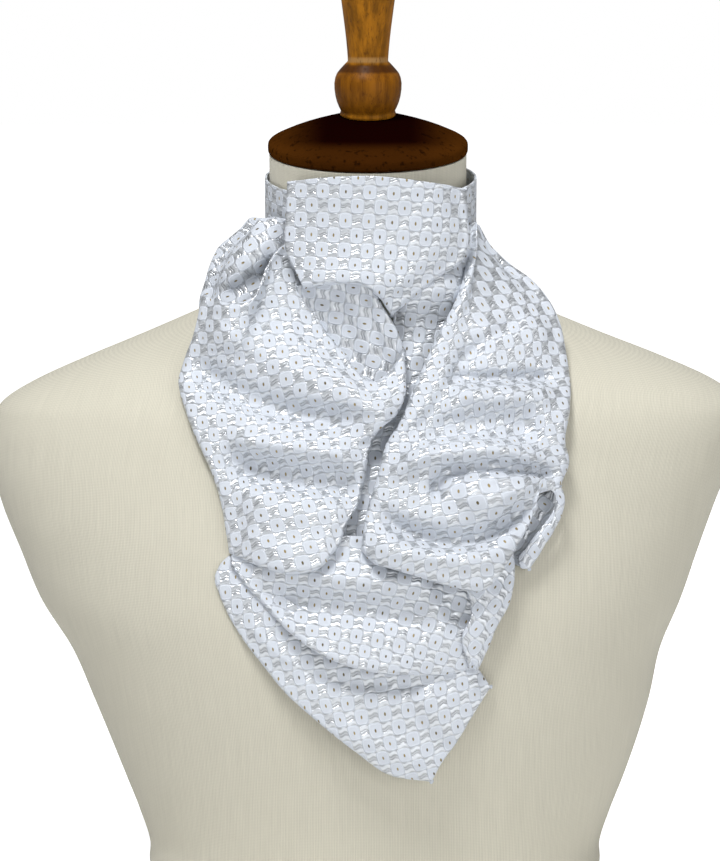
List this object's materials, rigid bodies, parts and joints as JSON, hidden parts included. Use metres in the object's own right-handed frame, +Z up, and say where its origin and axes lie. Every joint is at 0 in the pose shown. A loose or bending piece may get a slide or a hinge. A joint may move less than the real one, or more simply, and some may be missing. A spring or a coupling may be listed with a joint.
{
  "type": "cravat on dress form",
  "caption": "White jacquard stock-tie cravat with an upright neck panel and soft folded falls, draped on a limbless linen dress form with a dark wood neck cap and turned finial.",
  "frame": {"origin": "on the flat underside of the dress form, below the middle of its neck", "axes": "+X to the right of someone facing the front, -Y out of the front, +Z up along the longest side"},
  "size_m": [0.4295, 0.2193, 0.5263],
  "materials": {
    "linen": "cream linen cover with a fine vertical rib, matte",
    "dark_wood": "dark mahogany stain, satin varnish",
    "honey_wood": "honey-brown stain, satin varnish",
    "jacquard": "white jacquard, matte rounded squares between satin floats, small gold dots"
  },
  "bodies": {
    "root": {"form_torso": "linen", "neck_cap": "dark_wood", "finial": "honey_wood", "neck_band": "jacquard", "front_panel": "jacquard", "left_roll": "jacquard", "cowl_inner": "jacquard", "left_swath": "jacquard", "throat_fold": "jacquard", "right_fall": "jacquard", "lower_roll": "jacquard", "tail_tip": "jacquard", "end_loop": "jacquard", "under_end": "jacquard"}
  },
  "joints": []
}
